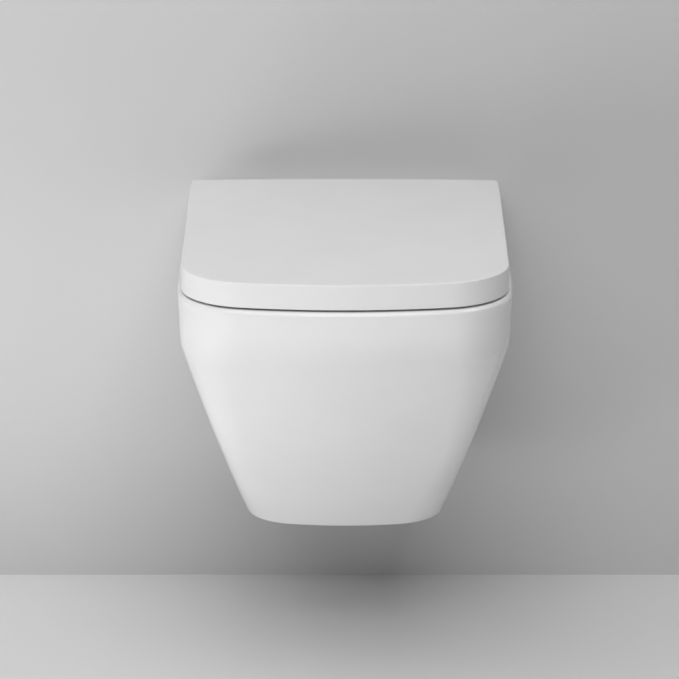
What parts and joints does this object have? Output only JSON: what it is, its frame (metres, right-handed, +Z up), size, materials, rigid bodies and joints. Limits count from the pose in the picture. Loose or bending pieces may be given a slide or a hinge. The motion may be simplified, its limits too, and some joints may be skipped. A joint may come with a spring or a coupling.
{
  "type": "wall-hung toilet",
  "caption": "Wall-hung toilet: a tapering glazed china pan with a rimless bowl and P-trap, a wrap-over soft-close lid, a seat ring on quick-release hinges, and hidden wall fixings.",
  "frame": {"origin": "midway between the two wall studs, on the plane of the finished wall", "axes": "+Z up, +Y into the wall, -Y out into the room, +X to the right of someone facing the pan"},
  "size_m": [0.3584, 0.53, 0.3495],
  "materials": {
    "china": "gloss white glaze",
    "distributor": "smooth white",
    "sleeve_steel": "zinc plated",
    "bush_nylon": "natural nylon",
    "guide_brass": "turned",
    "screw_steel": "zinc plated",
    "cap_white": "gloss white",
    "post_steel": "turned stainless",
    "gasket_rubber": "matt",
    "expansion_rubber": "matt",
    "nut_brass": "turned",
    "hinge_chrome": "polished",
    "pin_steel": "ground",
    "clip_steel": "spring wire",
    "button_grey": "satin",
    "duroplast": "satin-gloss white",
    "lid_duroplast": "satin-gloss white",
    "pad_rubber": "soft, pale grey",
    "damper_grey": "moulded",
    "rotor_steel": "ground"
  },
  "bodies": {
    "pan": {"ceramic_pan": "china", "flush_distributor": "distributor", "stud_sleeves": "sleeve_steel", "fixing_bushes": "bush_nylon", "screw_guides": "guide_brass", "clamp_screws": "screw_steel", "side_caps": "cap_white", "hinge_posts": "post_steel", "post_gaskets": "gasket_rubber", "expansion_sleeves": "expansion_rubber", "expansion_nuts": "nut_brass"},
    "hinge_unit": {"hinge_block_left": "hinge_chrome", "hinge_block_right": "hinge_chrome", "hinge_pins": "pin_steel", "spring_clips": "clip_steel", "seat_damper_rotor": "rotor_steel", "lid_damper_rotor": "rotor_steel"},
    "button_left": {"release_button_left": "button_grey"},
    "button_right": {"release_button_right": "button_grey"},
    "seat": {"seat_ring": "duroplast", "seat_buffers": "pad_rubber", "seat_damper": "damper_grey"},
    "lid": {"lid": "lid_duroplast", "lid_buffers": "pad_rubber", "lid_damper": "damper_grey"}
  },
  "joints": [
    {"name": "seat_lift_off", "type": "slide", "parent": "pan", "child": "hinge_unit", "axis": [0, 0, 1], "range_m": [0, 0.02], "deforming": ["spring_clips"]},
    {"name": "release_press_left", "type": "slide", "parent": "hinge_unit", "child": "button_left", "axis": [0, 1, 0], "range_m": [0, 0.003], "stiffness_N_per_m": 500, "springref_m": -0.001, "deforming": ["spring_clips"]},
    {"name": "release_press_right", "type": "slide", "parent": "hinge_unit", "child": "button_right", "axis": [0, 1, 0], "range_m": [0, 0.003], "stiffness_N_per_m": 500, "springref_m": -0.001, "deforming": ["spring_clips"]},
    {"name": "seat_hinge", "type": "hinge", "parent": "hinge_unit", "child": "seat", "pos_m": [0, -0.091, 0.0955], "axis": [-1, 0, 0], "range_deg": [0, 95]},
    {"name": "lid_hinge", "type": "hinge", "parent": "seat", "child": "lid", "pos_m": [0, -0.091, 0.0955], "axis": [1, 0, 0], "range_deg": [-95, 0]}
  ]
}
